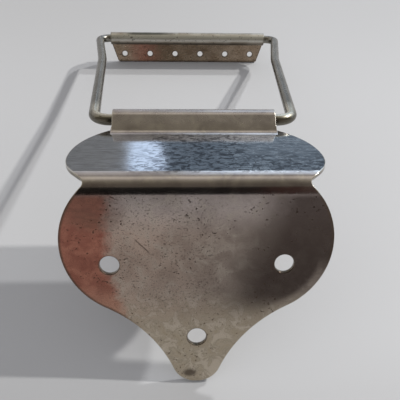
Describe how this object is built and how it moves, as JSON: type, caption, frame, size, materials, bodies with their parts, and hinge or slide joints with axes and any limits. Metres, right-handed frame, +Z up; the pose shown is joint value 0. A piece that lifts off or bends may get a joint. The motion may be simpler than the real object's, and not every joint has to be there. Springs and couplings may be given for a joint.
{
  "type": "trapeze guitar tailpiece",
  "caption": "Sheet-metal end plate with a curled edge that hinges a bent wire loop, which carries a curled string bar that anchors a guitar's strings.",
  "frame": {"origin": "middle of the tailpiece's footprint on the table, where it stands like a tent on the tip of the end plate and the foot of the string bar's flange", "axes": "+X across the guitar, along the hinge; +Y from the end plate to the string bar; +Z up"},
  "size_m": [0.0732, 0.142, 0.0443],
  "materials": {
    "plate_nickel": "tarnished nickel plate on pressed steel, pitted and scratched",
    "wire_nickel": "worn nickel plate on steel wire, dull",
    "bar_nickel": "tarnished nickel plate on thin steel, brownish"
  },
  "bodies": {
    "end_plate": {"end_plate": "plate_nickel"},
    "wire_loop": {"wire_loop": "wire_nickel"},
    "string_bar": {"string_bar": "bar_nickel"}
  },
  "joints": [
    {"name": "loop_hinge", "type": "hinge", "parent": "end_plate", "child": "wire_loop", "pos_m": [0, -0.01627, 0.03662], "axis": [1, 0, 0], "range_deg": [-144, 176]},
    {"name": "bar_swivel", "type": "hinge", "parent": "wire_loop", "child": "string_bar", "pos_m": [0, 0.06865, 0.00999], "axis": [1, 0, 0], "continuous": true}
  ]
}
